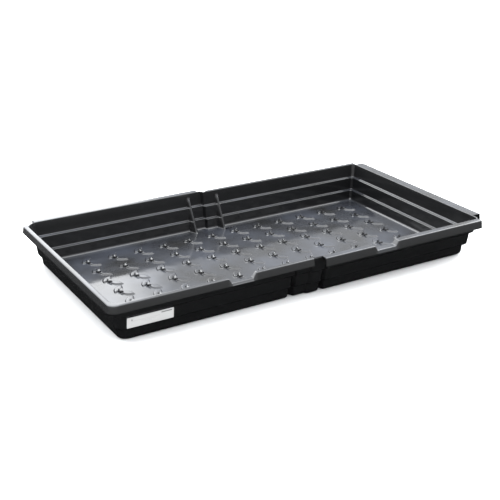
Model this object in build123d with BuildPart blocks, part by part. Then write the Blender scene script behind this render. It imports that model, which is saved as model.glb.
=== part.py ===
from build123d import *
import math
import os

# ---------------------------------------------------------------- overall sizes (mm)
length = 1200.0          # over the rim lips, along X
width = 659.0            # over the rim lips, along Y
height = 118.0           # from the ground to the top of the rim
sheet = 4.0              # thickness of the moulded sheet

# ---------------------------------------------------------------- rim
under_strip = 12.0       # flat strip that slides under a neighbour's rim
over_strip_side = 20.0   # flat strip that laps over a neighbour, long sides
over_strip_end = 32.0    # flat strip that laps over a neighbour, right end
under_lip = 20.0         # drop of the narrow rim's lip
over_lip = 23.0          # drop of the wide rim's lip
lip_flare = 3.0          # how far a lip leans out at its bottom edge
lip_sheet = 3.2          # thickness of a lip at its bottom edge
rim_corner_radius = 22.0
rim_bite = 2.0           # how far a strip runs into the wall that it grows from

# ---------------------------------------------------------------- walls
jog_front = 6.0          # the front right half stands this much further out
jog_back = 11.0          # the back left half stands this much further out
jog_run = 10.0           # length of the slanted piece between the halves
jog_shift = -8.0         # jog position, from the middle of the basin
left_corner_radius = 34.0     # basin corners at the rim, left end
right_corner_radius = 12.0    # basin corners at the rim, right end
least_corner_radius = 7.0     # and the least that a corner tightens to lower down
corner_taper = 0.4       # corner radius lost per mm of inset
upper_ledge = 76.0       # height of the upper ledge
lower_ledge = 37.0       # height of the lower ledge
ledge_slope = 1.0        # how much a ledge falls towards the basin
upper_ledge_width = 9.0
lower_ledge_width = 9.0
upper_draft = 6.5        # lean of the wall above the upper ledge
middle_draft = 3.5       # lean of the wall between the ledges
lower_draft = 1.5        # lean of the wall below the lower ledge
ledge_round = 2.0        # rounding of every ledge edge
floor_round = 7.0        # rounding where the wall meets the floor

# ---------------------------------------------------------------- breaks and notches in the rim
front_break_start = -8.0     # from the middle of the basin
front_break_width = 28.0
back_break_start = -23.0     # from the middle of the basin
back_break_width = 29.0
front_right_notch_x = 38.0   # rim missing at each notched corner, from the rim's outer edges
front_right_notch_y = 45.0
back_left_notch_x = 35.0
back_left_notch_y = 36.0
back_right_notch_x = 12.0
back_right_notch_y = 12.0

# ---------------------------------------------------------------- pouring dips in the front rim
dip_pitch = 448.0
dip_top_width = 82.0
dip_bottom_width = 63.0
dip_depth = 14.0
dip_rise = 5.0           # how far a dip's cut runs past the top and the front of the rim

# ---------------------------------------------------------------- hollow gussets
gusset_pitch = 94.0
gusset_drop = 16.0           # top of a gusset, below the rim
gusset_reach = 58.0          # foot of the ridge, from the basin edge
gusset_head_reach = 5.0      # top of the ridge, from the basin edge
gusset_base_half = 14.0      # half width where the gusset grows from the wall, at the floor
gusset_head_half = 4.5       # half width where it grows from the wall, at its top
gusset_ridge_half = 3.2      # half width of the ridge
gusset_wall = 3.0            # sheet left beside the groove behind a gusset
ridge_wall = 4.0             # sheet left in front of the groove, at the ridge
groove_ridge_half = 0.8      # half width of the groove at its narrow side
groove_start = 16.0          # inset at which the groove's cut starts, at the ground
groove_drop = 9.0            # height at which a groove runs out, below the rim
lip_gap = 2.0                # clearance between a groove's cut and the rim lip

# ---------------------------------------------------------------- raised tread on the floor
tread_margin = 30.0          # smallest plain border round the centred pattern
tread_pitch_x = 82.0
tread_pitch_y = 74.8
tread_shift_x = 22.5         # middle of the pattern, from the middle of the basin
tread_shift_y = 22.5
lens_length = 52.0
lens_width = 21.0
lens_height = 3.5
lens_angle = 45.0
lens_sink = 1.0              # how far a lens reaches into the floor
chevron_x = 4.5              # each lens stands this far from the middle of its chevron
chevron_y = 15.5

# ---------------------------------------------------------------- label
label_length = 126.0
label_height = 29.0
label_thick = 0.3
label_corner = 1.5
label_left = 40.0            # left edge, from the left edge of the basin

# ---------------------------------------------------------------- derived positions
basin_left = -length / 2 + lip_flare + under_strip
basin_right = length / 2 - lip_flare - over_strip_end
basin_front = -width / 2 + lip_flare + over_strip_side + jog_front
basin_back = width / 2 - lip_flare - over_strip_side - jog_back
basin_mid = (basin_left + basin_right) / 2
basin_mid_y = (basin_front + basin_back) / 2
jog_x = basin_mid + jog_shift

rim_left = basin_left - under_strip
rim_right = basin_right + over_strip_end
rim_front_left = basin_front - under_strip
rim_front_right = basin_front - jog_front - over_strip_side
rim_back_left = basin_back + jog_back + over_strip_side
rim_back_right = basin_back + under_strip

inset_upper = upper_draft
inset_upper_ledge = inset_upper + upper_ledge_width
inset_middle = inset_upper_ledge + middle_draft
inset_lower_ledge = inset_middle + lower_ledge_width
inset_floor = inset_lower_ledge + lower_draft
floor_inset = inset_floor + floor_round

gusset_top = height - gusset_drop
groove_top = height - groove_drop

tread_room_x = basin_right - basin_left - 2 * (floor_inset + tread_margin)
tread_room_y = basin_back - basin_front - 2 * (floor_inset + tread_margin)
tread_columns = int(tread_room_x // tread_pitch_x)
tread_rows = int(tread_room_y // tread_pitch_y)


def ledge_points(ledge, inset_above, inset_below):
    """Height and inset of the four points that round a ledge off, from the top down."""
    return [
        (ledge + ledge_round, inset_above),
        (ledge, inset_above + ledge_round),
        (ledge - ledge_slope, inset_below - ledge_round),
        (ledge - ledge_slope - ledge_round, inset_below),
    ]


def wall_levels(drop, outset, base):
    """Wall profile as height and inset, moved down by drop and out by outset, ending at base."""
    levels = ledge_points(upper_ledge, inset_upper, inset_upper_ledge)
    levels += ledge_points(lower_ledge, inset_middle, inset_lower_ledge)
    moved = [(z - drop, inset - outset) for z, inset in levels]
    bend = floor_round * 0.3
    foot = [
        (base + floor_round, inset_floor - outset),
        (base + bend, inset_floor - outset + bend),
        (base, floor_inset - outset),
    ]
    return [(height, -outset)] + moved + foot


def basin_outline(z, inset):
    """Plan outline of the basin at height z, with a jog in the middle of each long side."""
    left = basin_left + inset
    right = basin_right - inset
    front = basin_front + inset
    back = basin_back - inset
    corners = [(left, front), (right, front - jog_front), (right, back), (left, back + jog_back)]
    with BuildSketch(Plane.XY.offset(z)) as outline:
        with BuildLine():
            Polyline(
                corners[0],
                (jog_x - jog_run / 2, front),
                (jog_x + jog_run / 2, front - jog_front),
                corners[1],
                corners[2],
                (jog_x + jog_run / 2, back),
                (jog_x - jog_run / 2, back + jog_back),
                corners[3],
                close=True,
            )
        make_face()
        basin_corners = vertices().filter_by(
            lambda vertex: min(math.dist((vertex.X, vertex.Y), corner) for corner in corners) < 0.01
        )
        left_corners = basin_corners.filter_by(lambda vertex: vertex.X < basin_mid)
        right_corners = basin_corners.filter_by(lambda vertex: vertex.X > basin_mid)
        corner_loss = corner_taper * max(inset, 0)
        fillet(left_corners, left_corner_radius - corner_loss)
        fillet(right_corners, max(right_corner_radius - corner_loss, least_corner_radius))
    return outline.sketch


def loft_levels(levels):
    """One ruled slice for each step of a wall profile."""
    for upper, lower in zip(levels, levels[1:]):
        loft(sections=[basin_outline(*lower), basin_outline(*upper)], ruled=True)


def rim_section(origin, outward, strip, drop):
    """Cross-section of a rim strip and its lip; origin is the outer top edge."""
    up = Vector(0, 0, 1)
    plane = Plane(origin=origin, x_dir=outward, z_dir=Vector(outward).cross(up))
    with BuildSketch(plane) as section:
        with BuildLine():
            Polyline(
                (-strip - rim_bite, 0),
                (0, 0),
                (lip_flare, -drop),
                (lip_flare - lip_sheet, -drop),
                (-sheet, -sheet),
                (-strip - rim_bite, -sheet),
                close=True,
            )
        make_face()
    return section.sketch


def rim_between(start, end, outward, strip, drop):
    """One straight length of rim; start and end are points on its outer top edge."""
    middle = ((start[0] + end[0]) / 2, (start[1] + end[1]) / 2, height)
    section = rim_section(middle, outward, strip, drop)
    extrude(section, amount=math.dist(start, end) / 2, both=True)


def dip_profile(y, centre, grow, top):
    """Trapezoid across the front rim at depth y, thickened by grow below and beside."""
    with BuildSketch(Plane.XZ.offset(-y)) as profile:
        with BuildLine():
            Polyline(
                (centre - dip_top_width / 2 - grow, top),
                (centre - dip_top_width / 2 - grow, height),
                (centre - dip_bottom_width / 2 - grow, height - dip_depth - grow),
                (centre + dip_bottom_width / 2 + grow, height - dip_depth - grow),
                (centre + dip_top_width / 2 + grow, height),
                (centre + dip_top_width / 2 + grow, top),
                close=True,
            )
        make_face()
    return profile.sketch


def wedge_outline(z, centre, edge, inward, near, far, near_half, far_half):
    """Four-sided plan section of a gusset; near and far are insets from the basin edge."""
    with BuildSketch(Plane.XY.offset(z)) as outline:
        with BuildLine():
            Polyline(
                (centre - near_half, edge + inward * near),
                (centre + near_half, edge + inward * near),
                (centre + far_half, edge + inward * far),
                (centre - far_half, edge + inward * far),
                close=True,
            )
        make_face()
    return outline.sketch


# ---------------------------------------------------------------- outside and inside of the basin
with BuildPart() as basin_body:
    loft_levels(wall_levels(sheet, sheet, 0))

with BuildPart() as basin_inside:
    loft_levels(wall_levels(0, 0, sheet))

# ---------------------------------------------------------------- narrow rim round the front left corner
left_rim_end = rim_back_left - back_left_notch_y
corner_section = rim_section((rim_left, left_rim_end, height), (-1, 0, 0), under_strip, under_lip)
with BuildPart() as corner_rim:
    with BuildLine() as corner_path:
        FilletPolyline(
            (rim_left, left_rim_end, height),
            (rim_left, rim_front_left, height),
            (basin_mid + front_break_start, rim_front_left, height),
            radius=rim_corner_radius,
        )
    sweep(corner_section, path=corner_path.wire())
    with BuildSketch(Plane.XY.offset(height - sheet)):
        with Locations((rim_left, rim_front_left)):
            Rectangle(left_corner_radius * 2, left_corner_radius * 2, align=(Align.MIN, Align.MIN))
        outer_corner = vertices().group_by(Axis.X)[0].sort_by(Axis.Y)[0]
        fillet(outer_corner, rim_corner_radius)
    extrude(amount=sheet)

# ---------------------------------------------------------------- straight lengths of rim
with BuildPart() as straight_rims:
    rim_between(
        (basin_mid + front_break_start + front_break_width, rim_front_right),
        (rim_right - front_right_notch_x, rim_front_right),
        (0, -1, 0), over_strip_side, over_lip,
    )
    rim_between(
        (rim_right, rim_front_right + front_right_notch_y),
        (rim_right, rim_back_right - back_right_notch_y),
        (1, 0, 0), over_strip_end, over_lip,
    )
    rim_between(
        (basin_mid + back_break_start + back_break_width, rim_back_right),
        (rim_right - back_right_notch_x, rim_back_right),
        (0, 1, 0), under_strip, under_lip,
    )
    rim_between(
        (rim_left + back_left_notch_x, rim_back_left),
        (basin_mid + back_break_start, rim_back_left),
        (0, 1, 0), over_strip_side, over_lip,
    )

# ---------------------------------------------------------------- gussets and the grooves behind them
gusset_places = [
    (jog_x + side * gusset_pitch / 2, edge, inward)
    for side in (-1, 1)
    for edge, inward in ((basin_back, -1), (basin_front, 1))
]
with BuildPart() as gussets:
    for centre, edge, inward in gusset_places:
        foot = wedge_outline(
            0, centre, edge, inward, inset_floor - sheet, gusset_reach, gusset_base_half, gusset_ridge_half
        )
        head = wedge_outline(
            gusset_top, centre, edge, inward, -sheet, gusset_head_reach, gusset_head_half, gusset_ridge_half
        )
        loft(sections=[foot, head], ruled=True)
    add(basin_body.part, mode=Mode.INTERSECT)

ridge_slope = (gusset_reach - gusset_head_reach) / gusset_top
mouth_slope = (gusset_base_half - gusset_wall - groove_ridge_half) / (gusset_reach - inset_floor)
groove_foot = gusset_reach - ridge_wall
groove_start_half = groove_ridge_half + mouth_slope * (groove_foot - groove_start)
groove_head = groove_foot - ridge_slope * groove_top
with BuildPart() as grooves:
    for centre, edge, inward in gusset_places:
        foot = wedge_outline(
            0, centre, edge, inward, groove_start, groove_foot, groove_start_half, groove_ridge_half
        )
        head = wedge_outline(
            groove_top, centre, edge, inward, lip_gap - under_strip + lip_sheet, groove_head,
            gusset_head_half, groove_ridge_half,
        )
        loft(sections=[foot, head], ruled=True)

# ---------------------------------------------------------------- one chevron of the tread: two raised lenses
barrel_radius = (lens_width ** 2 / 4 + lens_height ** 2) / (2 * lens_height)
barrel_axis = lens_height - barrel_radius
with BuildPart() as lens:
    with BuildSketch(Plane.XZ):
        with BuildLine():
            ThreePointArc((-lens_length / 2, 0), (0, lens_height), (lens_length / 2, 0))
            Polyline(
                (lens_length / 2, 0),
                (lens_length / 2, barrel_axis),
                (-lens_length / 2, barrel_axis),
                (-lens_length / 2, 0),
            )
        make_face()
    revolve(axis=Axis((0, 0, barrel_axis), (1, 0, 0)))
    with Locations((0, 0, -lens_sink)):
        Box(
            lens_length * 2, lens_width * 2, lens_height + lens_sink * 2,
            align=(Align.CENTER, Align.CENTER, Align.MIN),
            mode=Mode.INTERSECT,
        )

with BuildPart() as chevron:
    with Locations((-chevron_x, chevron_y, 0)):
        add(lens.part, rotation=(0, 0, lens_angle))
    with Locations((chevron_x, -chevron_y, 0)):
        add(lens.part, rotation=(0, 0, -lens_angle))

# ---------------------------------------------------------------- troughs and cuts of the pouring dips
dip_places = [
    (basin_mid - dip_pitch / 2, rim_front_left, basin_front),
    (basin_mid + dip_pitch / 2, rim_front_right, basin_front - jog_front),
]
with BuildPart() as dip_troughs:
    for centre, rim_edge, basin_edge in dip_places:
        extrude(dip_profile(rim_edge, centre, sheet, height + dip_rise), amount=rim_edge - basin_edge)
    split(bisect_by=Plane.XY.offset(height), keep=Keep.BOTTOM)

with BuildPart() as dip_cuts:
    for centre, rim_edge, basin_edge in dip_places:
        cut_start = rim_edge - lip_flare - dip_rise
        cut_end = basin_edge + left_corner_radius
        extrude(dip_profile(cut_start, centre, 0, height + dip_rise), amount=cut_start - cut_end)

# ---------------------------------------------------------------- the tray
with BuildPart() as tray:
    add(basin_body.part)
    add(corner_rim.part)
    add(straight_rims.part)
    add(dip_troughs.part)
    add(basin_inside.part, mode=Mode.SUBTRACT)
    add(dip_cuts.part, mode=Mode.SUBTRACT)
    add(gussets.part)
    add(grooves.part, mode=Mode.SUBTRACT)
    with Locations((basin_mid + tread_shift_x, basin_mid_y + tread_shift_y, sheet)):
        with GridLocations(tread_pitch_x, tread_pitch_y, tread_columns, tread_rows):
            add(chevron.part)

# ---------------------------------------------------------------- the label on the front wall
band_bottom = lower_ledge + ledge_round - sheet
band_top = upper_ledge - ledge_slope - ledge_round - sheet
band_rise = band_top - band_bottom
label_mid_height = (band_top + band_bottom) / 2
label_y = basin_front + inset_upper_ledge - sheet + middle_draft / 2
label_x = basin_left + label_left + label_length / 2
label_plane = Plane(
    origin=(label_x, label_y, label_mid_height),
    x_dir=(1, 0, 0),
    z_dir=(0, -band_rise, -middle_draft),
)
with BuildPart() as label:
    with BuildSketch(label_plane):
        RectangleRounded(label_length, label_height, label_corner)
    extrude(amount=label_thick)

# ---------------------------------------------------------------- finished pieces
os.makedirs("parts", exist_ok=True)
tray.part.label = "tray"
export_step(tray.part, "parts/tray.step")
label.part.label = "label"
export_step(label.part, "parts/label.step")
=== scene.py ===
import math
import bmesh
import bpy
from mathutils import Matrix, Vector


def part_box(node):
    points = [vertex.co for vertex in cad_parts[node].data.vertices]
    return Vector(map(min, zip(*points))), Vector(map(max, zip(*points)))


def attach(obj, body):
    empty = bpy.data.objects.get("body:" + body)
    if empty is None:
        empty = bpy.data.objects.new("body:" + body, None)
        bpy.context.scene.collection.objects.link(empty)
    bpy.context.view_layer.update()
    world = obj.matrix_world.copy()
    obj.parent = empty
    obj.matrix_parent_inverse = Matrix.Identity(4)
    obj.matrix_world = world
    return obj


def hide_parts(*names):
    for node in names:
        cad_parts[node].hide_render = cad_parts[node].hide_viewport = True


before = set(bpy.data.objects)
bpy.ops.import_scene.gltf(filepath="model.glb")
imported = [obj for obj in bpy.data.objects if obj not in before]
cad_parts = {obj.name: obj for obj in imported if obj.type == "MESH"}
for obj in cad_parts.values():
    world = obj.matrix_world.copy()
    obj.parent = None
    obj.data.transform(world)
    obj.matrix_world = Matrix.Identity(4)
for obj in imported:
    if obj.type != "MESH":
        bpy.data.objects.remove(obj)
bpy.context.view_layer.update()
tray_low, tray_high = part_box("tray")
label_low, label_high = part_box("label")
MM = 0.001
HAIR = 0.1 * MM

# ---------------------------------------------------------------- the basin and its rims
rim_top = tray_high.z
sheet = 4 * MM
lip_flare = 3 * MM
under_strip = 12 * MM
over_strip_side = 20 * MM
over_strip_end = 32 * MM
under_lip = 20 * MM
over_lip = 23 * MM
rim_corner_radius = 22 * MM
# the rounded edge between a strip and its lip: its size, and its two moves outward and down
edge_bend = 3 * MM
edge_bend_moves = ((2.1 * MM, -0.8 * MM), (0.9 * MM, -2.2 * MM))
# how deep below the top, and how far past its own ends, the edge that a rim starts from is looked for
rim_band = 20 * MM
rim_slack = 2 * MM
jog_front = 6 * MM
jog_back = 11 * MM
jog_half = 5 * MM
wide_corner = 34 * MM
tight_corner = 12 * MM
tightest_corner = 7 * MM
corner_taper = 0.4
corner_steps = 8
corner_clear = wide_corner + 30 * MM
station_step = 45 * MM
crease_angle = 50               # degrees between faces past which an edge stays sharp

basin_left = tray_low.x + lip_flare + under_strip
basin_right = tray_high.x - lip_flare - over_strip_end
basin_front = tray_low.y + lip_flare + over_strip_side + jog_front
basin_back = tray_high.y - lip_flare - over_strip_side - jog_back
basin_mid = (basin_left + basin_right) / 2
basin_mid_y = (basin_front + basin_back) / 2
half_x = (basin_right - basin_left) / 2
half_y = (basin_back - basin_front + (jog_front + jog_back) / 2) / 2
middle_y = basin_mid_y + (jog_back - jog_front) / 4
jog_x = basin_mid - 8 * MM
right_end_cut = basin_right - 22 * MM

# where each rim starts and stops along its side
front_break = (basin_mid - 8 * MM, basin_mid + 20 * MM)
back_break = (basin_mid - 23 * MM, basin_mid + 6 * MM)
left_rim_end = basin_back + jog_back - 15 * MM
back_rim_start = basin_left + 22 * MM
front_rim_end = basin_right - 5 * MM
right_rim_start = basin_front - jog_front + 28 * MM

# inner wall from the rim down to the floor: height, inset from the basin's edge
wall_profile = [(z * MM, inset * MM) for z, inset in (
    (118, -1.5), (117.3, -0.2), (115.8, 0.35), (106, 1.9), (102, 2.6), (98, 3.2), (90, 4.5), (78.5, 6.3),
    (77.2, 6.9), (76.2, 8.2), (75.6, 13.5), (74.9, 14.9), (73.6, 15.5), (56, 17.2), (39.5, 18.8),
    (38.2, 19.4), (37.3, 20.7), (36.6, 26.3), (35.9, 27.5), (34.6, 28.0), (22, 28.8), (12, 29.5),
    (8, 30.6), (5.4, 33.0), (4.2, 36.6), (4.0, 41.0),
)]
floor_top = wall_profile[-1][0]
wall_foot, foot_inset = 12 * MM, 29.5 * MM
floor_margin = (0.997, 0.996, 1)

# pouring dips in the front rim. dip_bends: how far each bend is from the middle, and its share of the depth
dip_centres = (basin_mid - 224 * MM, basin_mid + 224 * MM)
dip_depth = 14 * MM
dip_bends = ((43 * MM, 0.0), (39.5 * MM, 0.1), (33 * MM, 0.9), (30 * MM, 1.0))
dip_draw = 0.16                 # how far a dip leans inwards, as a share of how far it drops
dip_squeeze = 0.35              # what is left of the height between a dip and its root
# above dip_rim the wall drops whole; then all but its open edge is squeezed between the next two
dip_rim, dip_shoulder, dip_root = 110 * MM, 107 * MM, 90 * MM

# stiffening gussets, pressed inward from the outside: a ridge that leans from the rim to the floor
gusset_centres = (jog_x - 47 * MM, jog_x + 47 * MM)
gusset_top = rim_top - 16 * MM
gusset_reach = 58 * MM
gusset_head_reach = 5 * MM
gusset_flank = 17 * MM
gusset_base = 13.5 * MM
gusset_ridge = 3.4 * MM
gusset_crown = 1.5 * MM
gusset_head_share = 0.36        # its width at the top, as a share of its width at the floor
gusset_crown_rise = 1.8 * MM    # how far the crown stands out past the ridge's edges
gusset_least_ridge = 0.4 * MM
gusset_least_depth = 0.8 * MM
# its toe spreads below the wall's foot: how fast, how far at most, and how much of that is width
toe_rate, toe_most, toe_widening = 0.4, 2.4 * MM, 0.4

# raised tread of the floor
tread_pitch = (82 * MM, 74.8 * MM)
tread_count = (12, 6)
tread_middle = (basin_mid + 22.5 * MM, basin_mid_y + 22.5 * MM)
lens_half_width = 11.5 * MM
lens_points = 24
# the pair of lenses in each square: place, turn in degrees and half length
lens_pair = ((-4.5 * MM, 15.5 * MM, 45, 27.5 * MM), (8 * MM, -19 * MM, -45, 23.5 * MM))
# each ring of a lens from its foot to its crown: how far in from the foot, and how high
lens_rings = [(inset * MM, height * MM) for inset, height in (
    (0.5, 0), (0.9, 0.25), (1.3, 0.7), (3.0, 2.9), (3.5, 3.35), (4.1, 3.55), (5.0, 3.62), (8.0, 3.65),
)]
lens_tip_share = 1.7            # how many times faster a lens draws in at its tips than at its sides

# plain marks on the label, as shares of its width and height: left, right, low, high, darkness
printed_marks = (
    (0.09, 0.12, 0.66, 0.80, 0.6), (0.73, 0.96, 0.76, 0.88, 0.7), (0.09, 0.70, 0.585, 0.62, 0.22),
    (0.30, 0.62, 0.46, 0.495, 0.22), (0.36, 0.52, 0.335, 0.37, 0.18),
)


# ---------------------------------------------------------------- working in edit mode
def deselect_objects():
    if bpy.context.mode != "OBJECT":
        bpy.ops.object.mode_set(mode="OBJECT")
    bpy.ops.object.select_all(action="DESELECT")


def enter_edit(piece):
    deselect_objects()
    piece.select_set(True)
    bpy.context.view_layer.objects.active = piece
    bpy.ops.object.mode_set(mode="EDIT")


def leave_edit():
    bpy.ops.object.mode_set(mode="OBJECT")


def choose(kind, test):
    """Select the verts, edges or faces of the open mesh for which test is true."""
    bpy.ops.mesh.select_mode(type={"verts": "VERT", "edges": "EDGE", "faces": "FACE"}[kind])
    bpy.ops.mesh.select_all(action="DESELECT")
    mesh = bpy.context.edit_object.data
    opened = bmesh.from_edit_mesh(mesh)
    for element in getattr(opened, kind):
        if test(element):
            element.select_set(True)
    opened.select_flush_mode()
    bmesh.update_edit_mesh(mesh)


def push(x=0.0, y=0.0, z=0.0):
    bpy.ops.transform.translate(value=(x, y, z))


def scale_about(centre, factors):
    bpy.ops.transform.resize(value=factors, center_override=centre)


def rotate_about(centre, turn):
    """Turn what is selected about a vertical line, in degrees seen from above."""
    bpy.ops.transform.rotate(value=-math.radians(turn), orient_axis="Z", center_override=centre)


def flatten(axis, place):
    """Bring what is selected to one plane square to an axis."""
    factors = [1.0, 1.0, 1.0]
    centre = [0.0, 0.0, 0.0]
    factors[axis] = 0.0
    centre[axis] = place
    scale_about(centre, factors)


def extrude_edges(x=0.0, y=0.0, z=0.0):
    bpy.ops.mesh.extrude_edges_move(TRANSFORM_OT_translate={"value": (x, y, z)})


def near(a, b, gap=HAIR):
    return abs(a - b) < gap


def is_open(edge):
    return len(edge.link_faces) == 1


def apply_modifier(piece, kind, **values):
    deselect_objects()
    bpy.context.view_layer.objects.active = piece
    piece.select_set(True)
    modifier = piece.modifiers.new(kind.lower(), kind)
    for name, value in values.items():
        setattr(modifier, name, value)
    bpy.ops.object.modifier_apply(modifier=modifier.name)


# ---------------------------------------------------------------- the basin
def cut_places(start, end, marks):
    """Every mark between start and end, with even cuts wherever two marks are far apart."""
    stops = sorted({round(m, 6) for m in marks if start < m < end} | {start, end})
    places = [start]
    for low, high in zip(stops, stops[1:]):
        parts = math.ceil((high - low) / station_step)
        places += [low + (high - low) * i / parts for i in range(1, parts + 1)]
    return places


def make_outline():
    """A flat ring of edges around the basin at the rim, cut wherever the wall will bend."""
    bpy.ops.mesh.primitive_plane_add(size=1, location=(basin_mid, basin_mid_y, rim_top))
    basin = bpy.context.object
    basin.name = "tray_shell"
    basin.scale = (basin_right - basin_left, basin_back - basin_front, 1)
    bpy.ops.object.transform_apply(location=True, rotation=False, scale=True)
    marks = [*front_break, *back_break, jog_x - jog_half, jog_x + jog_half]
    for side in (-1, 1):
        marks += [centre + side * bend for centre in dip_centres for bend, share in dip_bends]
        marks += [centre + side * station for centre in gusset_centres
                  for station in (gusset_flank, gusset_base, gusset_ridge, gusset_crown)]
    across = cut_places(basin_left + corner_clear, basin_right - corner_clear, marks)
    upward = cut_places(basin_front + corner_clear, basin_back - corner_clear, [])
    cuts = [((x, 0, 0), (1, 0, 0)) for x in [*across, right_end_cut]]
    cuts += [((0, y, 0), (0, 1, 0)) for y in [*upward, right_rim_start + jog_front]]
    enter_edit(basin)
    for place, normal in cuts:
        bpy.ops.mesh.select_all(action="SELECT")
        bpy.ops.mesh.bisect(plane_co=place, plane_no=normal)
    bpy.ops.mesh.select_all(action="SELECT")
    bpy.ops.mesh.dissolve_faces()
    for x, y, radius in corners(0, 0):
        choose("verts", lambda v: near(v.co.x, x) and near(v.co.y, y))
        bpy.ops.mesh.bevel(offset=radius, segments=corner_steps, affect="VERTICES")
    choose("verts", lambda v: v.co.y < basin_mid_y and v.co.x > jog_x + jog_half - HAIR)
    push(y=-jog_front)
    choose("verts", lambda v: v.co.y > basin_mid_y and v.co.x < jog_x - jog_half + HAIR)
    push(y=jog_back)
    choose("faces", lambda f: True)
    bpy.ops.mesh.delete(type="ONLY_FACE")
    return basin


def share_at(inset):
    """How much smaller the basin is at an inset than at its edge, along X and along Y."""
    return (half_x - inset) / half_x, (half_y - inset) / half_y


def at_inset(x, y, inset):
    """Where a point of the basin's edge lies once the wall has come in by an inset."""
    share_x, share_y = share_at(inset)
    return basin_mid + (x - basin_mid) * share_x, middle_y + (y - middle_y) * share_y


def corners(right_shift=jog_front, left_shift=jog_back):
    """The basin's four corners and the radius of each; the jog shifts two of them outward."""
    return ((basin_left, basin_front, wide_corner), (basin_left, basin_back + left_shift, wide_corner),
            (basin_right, basin_front - right_shift, tight_corner), (basin_right, basin_back, tight_corner))


def make_walls():
    """Extrude the ring down the wall, drawing it in at each level and tightening its corners."""
    height, inset = rim_top, 0.0
    round_now = {(x, y): (radius, radius) for x, y, radius in corners()}
    for next_height, next_inset in wall_profile:
        if not near(next_height, height):
            choose("edges", lambda e: len(e.link_faces) < 2
                   and all(near(v.co.z, height) for v in e.verts))
            extrude_edges(z=next_height - height)
        else:
            bpy.ops.mesh.select_all(action="SELECT")
        old, new = share_at(inset), share_at(next_inset)
        factors = (new[0] / old[0], new[1] / old[1], 1)
        scale_about((basin_mid, middle_y, next_height), factors)
        for x, y, radius in corners():
            corner_x, corner_y = at_inset(x, y, next_inset)
            round_x, round_y = round_now[x, y][0] * factors[0], round_now[x, y][1] * factors[1]
            choose("verts", lambda v: near(v.co.z, next_height) and abs(v.co.x - corner_x) < round_x + MM
                   and abs(v.co.y - corner_y) < round_y + MM)
            wanted = max(radius - corner_taper * max(next_inset, 0), tightest_corner)
            scale_about((corner_x, corner_y, next_height), (wanted / round_x, wanted / round_y, 1))
            round_now[x, y] = (wanted, wanted)
        height, inset = next_height, next_inset


def add_floor_margin():
    """A narrow flat border inside the foot of the walls, so that the floor meets them level."""
    choose("edges", lambda e: is_open(e) and all(near(v.co.z, floor_top) for v in e.verts))
    extrude_edges()
    scale_about((basin_mid, middle_y, floor_top), floor_margin)


def make_gussets():
    """Draw the wall inwards to a leaning ridge at each gusset, level by level, front and back."""
    for height, inset in wall_profile:
        rise = min(height / gusset_top, 1)
        reach = gusset_reach + (gusset_head_reach - gusset_reach) * rise
        at_foot = height < wall_foot + HAIR
        toe = min(max(inset - foot_inset, 0) * toe_rate, toe_most) if at_foot else 0
        taper = 1 + (gusset_head_share - 1) * rise + toe * toe_widening / gusset_base
        for centre in gusset_centres:
            shifted = at_inset(centre, 0, inset)[0]
            scale = share_at(inset)[0]

            def beside(v, span):
                return near(v.co.z, height) and abs(v.co.x - shifted) < span * scale + HAIR

            choose("verts", lambda v: beside(v, gusset_flank))
            push(x=centre - shifted)
            shifted = centre
            choose("verts", lambda v: beside(v, gusset_flank) and not beside(v, gusset_ridge))
            scale_about((centre, 0, height), (taper, 1, 1))
            for side in (-1, 1) if height < gusset_top - MM else ():
                deep = max(reach + toe - inset, gusset_least_depth)
                choose("verts", lambda v: beside(v, gusset_ridge) and side * (v.co.y - basin_mid_y) > 0)
                push(y=-side * max(deep - gusset_crown_rise, gusset_least_ridge))
                choose("verts", lambda v: beside(v, gusset_crown) and side * (v.co.y - basin_mid_y) > 0)
                push(y=-side * min(gusset_crown_rise, deep))


def make_dips():
    """Press the front rim down at each dip, drawing the top of the wall down with it."""
    def in_bend(v, bend, share):
        if v.co.y > basin_mid_y:
            return False
        offsets = [abs(v.co.x - centre) for centre in dip_centres]
        return any(near(offset, bend, MM) or share == 1 and offset < bend for offset in offsets)

    for bend, share in dip_bends:
        drop = dip_depth * share
        if not drop:
            continue
        choose("verts", lambda v: in_bend(v, bend, share) and v.co.z > dip_rim)
        push(y=drop * dip_draw, z=-drop)
        choose("verts", lambda v: in_bend(v, bend, share) and not v.is_boundary
               and dip_root + HAIR < v.co.z < dip_shoulder)
        scale_about((0, 0, dip_root), (1, 1, dip_squeeze))


# ---------------------------------------------------------------- the rims
def rim_steps(drop):
    """Moves outward and down that finish a strip: its rounded edge, then its flared lip."""
    return [*edge_bend_moves, (lip_flare, edge_bend - drop)]


def make_straight_rim(axis, way, basin_edge, strip, drop, along):
    """A strip and its lip on one side of the basin; along says which stretch of the edge has it."""
    other = 1 - axis
    choose("edges", lambda e: is_open(e) and all(
        v.co.z > rim_top - rim_band and along[0] - rim_slack < v.co[other] < along[1] + rim_slack
        and way * (v.co[axis] - basin_edge) > -wide_corner - MM for v in e.verts))
    extrude_edges()
    flatten(axis, basin_edge + way * (strip - edge_bend))
    for out, down in rim_steps(drop):
        move = [0.0, 0.0, down]
        move[axis] = way * out
        extrude_edges(*move)
    flatten(2, rim_top - drop)


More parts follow.
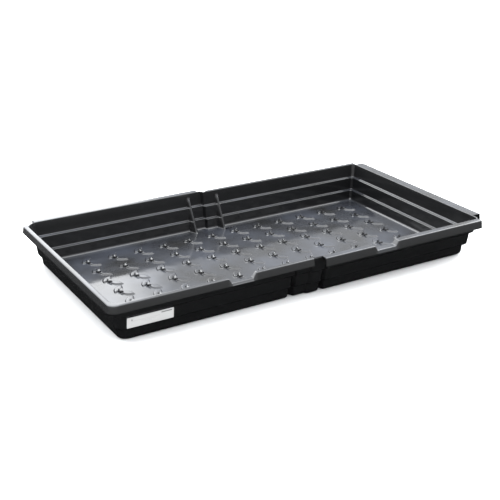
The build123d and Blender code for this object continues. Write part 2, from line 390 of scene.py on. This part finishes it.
def make_corner_rim():
    """The narrow rim along the left end, round the front corner and along the front to the jog."""
    def on_rim(v):
        on_front = v.co.y < basin_front + rim_slack and v.co.x < front_break[0] + MM
        on_left = v.co.x < basin_left + rim_band and v.co.y < left_rim_end + rim_slack
        round_corner = v.co.x < basin_left + wide_corner and v.co.y < basin_front + wide_corner
        return v.co.z > rim_top - rim_band and (on_front or on_left or round_corner)

    out_total = -wall_profile[0][1]
    radius = wide_corner
    centre = basin_left - out_total + radius, basin_front - out_total + radius
    choose("edges", lambda e: is_open(e) and all(on_rim(v) for v in e.verts))
    for out, down in [(under_strip - edge_bend - out_total, 0.0), *rim_steps(under_lip)]:
        extrude_edges(z=down)
        ring = chosen_indices()
        out_total += out
        share = min(out_total / under_strip, 1)
        next_radius = (wide_corner + (rim_corner_radius - wide_corner) * share
                       + max(out_total - under_strip, 0))
        next_centre = basin_left - out_total + next_radius, basin_front - out_total + next_radius
        factor = next_radius / radius
        pivot = [(b - factor * a) / (1 - factor) for a, b in zip(centre, next_centre)]
        choose_among(ring, lambda v: v.co.x < centre[0] + HAIR and v.co.y < centre[1] + HAIR)
        scale_about((*pivot, rim_top), (factor, factor, 1))
        choose_among(ring, lambda v: v.co.y > centre[1] + HAIR)
        flatten(0, basin_left - out_total)
        choose_among(ring, lambda v: v.co.x > centre[0] + HAIR and v.co.y < basin_mid_y)
        flatten(1, basin_front - out_total)
        choose_among(ring, lambda v: True)
        radius, centre = next_radius, next_centre
    flatten(2, rim_top - under_lip)


def chosen_indices():
    """The numbers of the selected verts, so that they can be chosen from again."""
    opened = bmesh.from_edit_mesh(bpy.context.edit_object.data)
    opened.verts.index_update()
    return {v.index for v in opened.verts if v.select}


def choose_among(indices, test):
    choose("verts", lambda v: v.index in indices and test(v))


def make_rims():
    """The lower rim and the upper ones that would lie over a neighbour's: front, back and right."""
    make_corner_rim()
    make_straight_rim(1, -1, basin_front - jog_front, over_strip_side, over_lip,
                      (front_break[1], front_rim_end))
    make_straight_rim(1, 1, basin_back, under_strip, under_lip, (back_break[1], basin_right))
    make_straight_rim(1, 1, basin_back + jog_back, over_strip_side, over_lip,
                      (back_rim_start, back_break[0]))
    make_straight_rim(0, 1, basin_right, over_strip_end, over_lip,
                      (right_rim_start, basin_back - tight_corner))


# ---------------------------------------------------------------- the tread
def make_tread():
    """One square of floor with its pair of raised lenses, repeated over the whole floor."""
    first = [tread_middle[i] - tread_pitch[i] * (tread_count[i] - 1) / 2 for i in (0, 1)]
    deselect_objects()
    bpy.ops.mesh.primitive_plane_add(size=1, location=(*first, floor_top))
    tread = bpy.context.object
    tread.name = "tread"
    tread.scale = (*tread_pitch, 1)
    bpy.ops.object.transform_apply(location=True, rotation=False, scale=True)
    enter_edit(tread)
    bpy.ops.mesh.delete(type="ONLY_FACE")
    for x, y, turn, half_length in lens_pair:
        add_lens_outline((first[0] + x, first[1] + y, floor_top), turn, half_length)
    bpy.ops.mesh.select_all(action="SELECT")
    bpy.ops.mesh.fill(use_beauty=True)
    for x, y, turn, half_length in lens_pair:
        raise_lens((first[0] + x, first[1] + y, floor_top), turn, half_length)
    leave_edit()
    for axis in (0, 1):
        step = [0, 0, 0]
        step[axis] = tread_pitch[axis]
        apply_modifier(tread, "ARRAY", use_relative_offset=False, use_constant_offset=True,
                       constant_offset_displace=step, count=tread_count[axis],
                       use_merge_vertices=True, merge_threshold=HAIR / 2)
    return tread


def add_lens_outline(centre, turn, half_length):
    """A circle drawn out to the lens's length and pinched towards its two tips."""
    bpy.ops.mesh.select_all(action="DESELECT")
    bpy.ops.mesh.primitive_circle_add(vertices=lens_points, radius=half_length,
                                      location=(0, 0, centre[2]))
    ring = chosen_indices()
    scale_about((0, 0, centre[2]), (1, lens_half_width / half_length, 1))
    for step in range(1, lens_points // 4):
        bend = math.cos(math.tau * step / lens_points) * half_length
        choose_among(ring, lambda v: near(abs(v.co.x), bend))
        scale_about((0, 0, centre[2]), (1, math.sin(math.tau * step / lens_points), 1))
    choose_among(ring, lambda v: True)
    rotate_about((0, 0, centre[2]), turn)
    push(x=centre[0], y=centre[1])


def raise_lens(centre, turn, half_length):
    """Extrude the lens's outline up and inwards, ring by ring, and close its crown."""
    back_turned = Matrix.Rotation(-math.radians(turn), 2)

    def on_outline(v):
        along, aside = back_turned @ Vector((v.co.x - centre[0], v.co.y - centre[1]))
        return abs(along) < half_length + HAIR and abs(aside) < lens_half_width + HAIR

    choose("edges", lambda e: is_open(e) and all(on_outline(v) for v in e.verts))
    length, width, height = half_length, lens_half_width, 0.0
    for inset, next_height in lens_rings:
        next_length, next_width = half_length - lens_tip_share * inset, lens_half_width - inset
        extrude_edges(z=next_height - height)
        rotate_about(centre, -turn)
        scale_about(centre, (next_length / length, next_width / width, 1))
        rotate_about(centre, turn)
        length, width, height = next_length, next_width, next_height
    bpy.ops.mesh.edge_face_add()


def join_floor(basin, tread):
    """Join the tread to the walls and fill the plain border between them."""
    deselect_objects()
    tread.select_set(True)
    basin.select_set(True)
    bpy.context.view_layer.objects.active = basin
    bpy.ops.object.join()
    enter_edit(basin)
    choose("edges", lambda e: is_open(e) and all(near(v.co.z, floor_top) for v in e.verts))
    bpy.ops.mesh.fill(use_beauty=True)
    bpy.ops.mesh.select_all(action="SELECT")
    bpy.ops.mesh.normals_make_consistent(inside=False)
    leave_edit()


def make_tray():
    """The whole tray as one skin, then its thickness, its shading and its place in the frame."""
    deselect_objects()
    basin = make_outline()
    make_walls()
    make_gussets()
    make_dips()
    make_rims()
    add_floor_margin()
    leave_edit()
    join_floor(basin, make_tread())
    floor_faces = [p for p in basin.data.polygons if near(p.center.z, floor_top)]
    if floor_faces[0].normal.z < 0:
        enter_edit(basin)
        bpy.ops.mesh.select_all(action="SELECT")
        bpy.ops.mesh.flip_normals()
        leave_edit()
    apply_modifier(basin, "SOLIDIFY", thickness=sheet, offset=-1)
    deselect_objects()
    basin.select_set(True)
    bpy.context.view_layer.objects.active = basin
    bpy.ops.object.shade_smooth_by_angle(angle=math.radians(crease_angle))
    apply_modifier(basin, "WEIGHTED_NORMAL", keep_sharp=True)
    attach(basin, "root")
    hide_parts("tray")
    return basin


# ---------------------------------------------------------------- finishes
bare_black, dusted_black = (0.0045, 0.0047, 0.0052, 1), (0.050, 0.057, 0.076, 1)
clean_paper, dusted_paper, print_ink = (0.42, 0.42, 0.417, 1), (0.34, 0.34, 0.335, 1), (0.03, 0.03, 0.035, 1)


def socket_in(group, name, kind, value=None):
    made = group.interface.new_socket(name=name, in_out="INPUT", socket_type=kind)
    if value is not None:
        made.default_value = value


def socket_out(group, name, kind):
    group.interface.new_socket(name=name, in_out="OUTPUT", socket_type=kind)


def new_group(name):
    group = bpy.data.node_groups.new(name, "ShaderNodeTree")
    return group, group.nodes.new("NodeGroupInput"), group.nodes.new("NodeGroupOutput")


def add_node(tree, kind, **values):
    node = tree.nodes.new("ShaderNode" + kind)
    for name, value in values.items():
        setattr(node, name, value)
    return node


def make_skin_group():
    """Fine waviness of a drawn or pressed skin, as a normal: a broad ripple under a fine peel."""
    group, given, result = new_group("skin_ripple")
    socket_in(group, "Peel Size", "NodeSocketFloat", 400.0)
    socket_in(group, "Peel Depth", "NodeSocketFloat", 0.02)
    socket_in(group, "Wave Size", "NodeSocketFloat", 12.0)
    socket_in(group, "Wave Depth", "NodeSocketFloat", 0.1)
    socket_out(group, "Normal", "NodeSocketVector")
    place = add_node(group, "TexCoord")
    normal = None
    for size, depth, distance in (("Wave Size", "Wave Depth", 4 * MM), ("Peel Size", "Peel Depth", MM)):
        noise = add_node(group, "TexNoise")
        noise.inputs["Detail"].default_value = 2.0
        bump = add_node(group, "Bump")
        bump.inputs["Distance"].default_value = distance
        group.links.new(place.outputs["Object"], noise.inputs["Vector"])
        group.links.new(given.outputs[size], noise.inputs["Scale"])
        group.links.new(given.outputs[depth], bump.inputs["Strength"])
        group.links.new(noise.outputs["Fac"], bump.inputs["Height"])
        if normal:
            group.links.new(normal, bump.inputs["Normal"])
        normal = bump.outputs["Normal"]
    group.links.new(normal, result.inputs["Normal"])
    return group


def make_dust_group():
    """Light dust on what faces up, in soft patches: a mask from 0 to 1."""
    group, given, result = new_group("settled_dust")
    socket_in(group, "Amount", "NodeSocketFloat", 0.2)
    socket_in(group, "Patch Size", "NodeSocketFloat", 9.0)
    socket_out(group, "Mask", "NodeSocketFloat")
    place = add_node(group, "TexCoord")
    noise = add_node(group, "TexNoise")
    noise.inputs["Detail"].default_value = 6.0
    patches = add_node(group, "MapRange")
    patches.inputs["From Min"].default_value = 0.35
    patches.inputs["From Max"].default_value = 0.75
    split = add_node(group, "SeparateXYZ")
    facing = add_node(group, "MapRange")
    facing.inputs["From Min"].default_value = 0.2
    facing.inputs["From Max"].default_value = 0.95
    both = add_node(group, "Math", operation="MULTIPLY")
    scaled = add_node(group, "Math", operation="MULTIPLY")
    geometry = add_node(group, "NewGeometry")
    group.links.new(place.outputs["Object"], noise.inputs["Vector"])
    group.links.new(given.outputs["Patch Size"], noise.inputs["Scale"])
    group.links.new(noise.outputs["Fac"], patches.inputs["Value"])
    group.links.new(geometry.outputs["Normal"], split.inputs["Vector"])
    group.links.new(split.outputs["Z"], facing.inputs["Value"])
    group.links.new(patches.outputs["Result"], both.inputs[0])
    group.links.new(facing.outputs["Result"], both.inputs[1])
    group.links.new(both.outputs["Value"], scaled.inputs[0])
    group.links.new(given.outputs["Amount"], scaled.inputs[1])
    group.links.new(scaled.outputs["Value"], result.inputs["Mask"])
    return group


def new_material(name):
    material = bpy.data.materials.new(name)
    material.use_nodes = True
    return material, material.node_tree, material.node_tree.nodes["Principled BSDF"]


def place_group(tree, group, **values):
    node = add_node(tree, "Group", node_tree=group)
    for name, value in values.items():
        node.inputs[name.replace("_", " ")].default_value = value
    return node


def make_tray_plastic(ripple, dust):
    """Black drawn sheet: a sharp gloss under a soft grey haze."""
    material, tree, shader = new_material("tray_plastic")
    skin = place_group(tree, ripple, Peel_Size=420.0, Peel_Depth=0.03, Wave_Size=9.0, Wave_Depth=0.16)
    film = place_group(tree, dust, Amount=0.6, Patch_Size=7.0)
    colour = add_node(tree, "Mix", data_type="RGBA")
    colour.inputs["A"].default_value = bare_black
    colour.inputs["B"].default_value = dusted_black
    rough = add_node(tree, "MapRange")
    rough.inputs["To Min"].default_value = 0.07
    rough.inputs["To Max"].default_value = 0.10
    tree.links.new(film.outputs["Mask"], colour.inputs["Factor"])
    tree.links.new(colour.outputs["Result"], shader.inputs["Base Color"])
    tree.links.new(film.outputs["Mask"], rough.inputs["Value"])
    tree.links.new(rough.outputs["Result"], shader.inputs["Roughness"])
    tree.links.new(skin.outputs["Normal"], shader.inputs["Normal"])
    shader.inputs["Coat Weight"].default_value = 0.34
    shader.inputs["Coat Roughness"].default_value = 0.45
    return material


def make_label_stock(ripple, dust):
    """White satin sticker with a few plain grey bars that stand for its print."""
    material, tree, shader = new_material("label_stock")
    skin = place_group(tree, ripple, Peel_Size=900.0, Peel_Depth=0.02, Wave_Size=60.0, Wave_Depth=0.04)
    film = place_group(tree, dust, Amount=0.3, Patch_Size=30.0)
    place = add_node(tree, "TexCoord")
    split = add_node(tree, "SeparateXYZ")
    tree.links.new(place.outputs["Object"], split.inputs["Vector"])

    def within(source, middle, half):
        node = add_node(tree, "Math", operation="COMPARE")
        tree.links.new(source, node.inputs[0])
        node.inputs[1].default_value = middle
        node.inputs[2].default_value = half
        return node.outputs["Value"]

    def join(operation, a, b):
        node = add_node(tree, "Math", operation=operation)
        tree.links.new(a, node.inputs[0])
        tree.links.new(b, node.inputs[1])
        return node.outputs["Value"]

    width, height = label_high.x - label_low.x, label_high.z - label_low.z
    marks = None
    for left, right, low, high, strength in printed_marks:
        mark = join("MULTIPLY", within(split.outputs["X"], label_low.x + width * (left + right) / 2,
                                       width * (right - left) / 2),
                    within(split.outputs["Z"], label_low.z + height * (low + high) / 2,
                           height * (high - low) / 2))
        ink = add_node(tree, "Math", operation="MULTIPLY")
        ink.inputs[1].default_value = strength
        tree.links.new(mark, ink.inputs[0])
        marks = join("MAXIMUM", marks, ink.outputs["Value"]) if marks else ink.outputs["Value"]
    paper = add_node(tree, "Mix", data_type="RGBA")
    paper.inputs["A"].default_value = clean_paper
    paper.inputs["B"].default_value = dusted_paper
    printed = add_node(tree, "Mix", data_type="RGBA")
    printed.inputs["B"].default_value = print_ink
    tree.links.new(film.outputs["Mask"], paper.inputs["Factor"])
    tree.links.new(paper.outputs["Result"], printed.inputs["A"])
    tree.links.new(marks, printed.inputs["Factor"])
    tree.links.new(printed.outputs["Result"], shader.inputs["Base Color"])
    tree.links.new(skin.outputs["Normal"], shader.inputs["Normal"])
    shader.inputs["Roughness"].default_value = 0.35
    return material


def cover_with(piece, material):
    piece.data.materials.clear()
    piece.data.materials.append(material)


# ---------------------------------------------------------------- studio
# bright panels, in degrees: where each starts to show, is full, starts to fade and is gone
back_panel = (-50, -38, 22.5, 27)
side_panel = (45, 50, 90, 110)
panel_rise = (6, 11, 48, 60)
back_panel_strength, side_panel_strength = 4.0, 7.0
# how bright the sky is by height, as a sine: from, to, and the brightness at each
sky_glow, sky_crown = (-0.4, 0.15, 0.02, 1.0), (0.55, 0.8, 0.0, 3.6)
light_tint = (0.97, 0.985, 1.0, 1)
ground_size, ground_grey = 12, (0.8, 0.8, 0.8, 1)
camera_place = (-1.3786, -2.2199, 1.1180)
camera_azimuth, camera_elevation, camera_roll = -31.37, 22.69, 0.45
camera_lens = 69.96


def make_world():
    """A pale studio: a bright panel behind and to the left, softer light elsewhere, dark below."""
    world = bpy.data.worlds.new("studio")
    bpy.context.scene.world = world
    world.use_nodes = True
    tree = world.node_tree
    shown = tree.nodes["Background"]
    output = tree.nodes["World Output"]
    place = add_node(tree, "TexCoord")
    split = add_node(tree, "SeparateXYZ")
    tree.links.new(place.outputs["Generated"], split.inputs["Vector"])

    def ramp(source, low, high, start=0.0, end=1.0):
        node = add_node(tree, "MapRange", interpolation_type="SMOOTHSTEP")
        for name, value in (("From Min", low), ("From Max", high), ("To Min", start), ("To Max", end)):
            node.inputs[name].default_value = value
        tree.links.new(source, node.inputs["Value"])
        return node.outputs["Result"]

    def combine(operation, a, b):
        node = add_node(tree, "Math", operation=operation)
        for socket, value in zip(node.inputs, (a, b)):
            if isinstance(value, float):
                socket.default_value = value
            else:
                tree.links.new(value, socket)
        return node.outputs["Value"]

    def band(source, edges):
        return combine("MULTIPLY", ramp(source, edges[0], edges[1]), ramp(source, edges[3], edges[2]))

    azimuth = combine("ARCTAN2", split.outputs["X"], split.outputs["Y"])
    height = split.outputs["Z"]
    sky = combine("ADD", ramp(height, *sky_glow), ramp(height, *sky_crown))
    rise = band(height, [math.sin(math.radians(edge)) for edge in panel_rise])
    behind = combine("MULTIPLY", band(azimuth, [math.radians(edge) for edge in back_panel]), rise)
    beside = combine("MULTIPLY", band(azimuth, [math.radians(edge) for edge in side_panel]), rise)
    panels = combine("ADD", combine("MULTIPLY", behind, back_panel_strength),
                     combine("MULTIPLY", beside, side_panel_strength))
    light = combine("ADD", sky, panels)
    tree.links.new(light, shown.inputs["Strength"])
    shown.inputs["Color"].default_value = light_tint
    backdrop = add_node(tree, "Background")
    backdrop.inputs["Color"].default_value = (1, 1, 1, 1)
    seen = add_node(tree, "LightPath")
    mix = add_node(tree, "MixShader")
    tree.links.new(seen.outputs["Is Camera Ray"], mix.inputs["Fac"])
    tree.links.new(shown.outputs["Background"], mix.inputs[1])
    tree.links.new(backdrop.outputs["Background"], mix.inputs[2])
    tree.links.new(mix.outputs["Shader"], output.inputs["Surface"])


def make_ground():
    """Plain pale floor. It takes shadows but does not show in the tray's gloss."""
    deselect_objects()
    bpy.ops.mesh.primitive_plane_add(size=ground_size, location=(0, 0, 0))
    ground = bpy.context.object
    ground.name = "ground"
    material, tree, shader = new_material("pale_ground")
    shader.inputs["Base Color"].default_value = ground_grey
    shader.inputs["Roughness"].default_value = 0.9
    shader.inputs["Specular IOR Level"].default_value = 0.0
    cover_with(ground, material)
    ground.visible_glossy = False


def make_camera():
    """Seen from the front left, a little above: turned by its azimuth, elevation and roll."""
    azimuth, elevation = math.radians(camera_azimuth), math.radians(camera_elevation)
    back = Vector((math.sin(azimuth) * math.cos(elevation), -math.cos(azimuth) * math.cos(elevation),
                   math.sin(elevation)))
    right = (-back).cross(Vector((0, 0, 1))).normalized()
    up = right.cross(-back)
    turned = Matrix.Rotation(math.radians(camera_roll), 3, back)
    right, up = turned @ right, turned @ up
    data = bpy.data.cameras.new("camera")
    data.lens = camera_lens
    camera = bpy.data.objects.new("camera", data)
    bpy.context.scene.collection.objects.link(camera)
    axes = Matrix((right, up, back)).transposed().to_4x4()
    camera.matrix_world = Matrix.Translation(camera_place) @ axes
    bpy.context.scene.camera = camera


make_camera()
make_world()
make_ground()
bpy.context.scene.view_settings.view_transform = "Standard"

ripple = make_skin_group()
dust = make_dust_group()
tray = make_tray()
cover_with(tray, make_tray_plastic(ripple, dust))
cover_with(bpy.data.objects["label"], make_label_stock(ripple, dust))
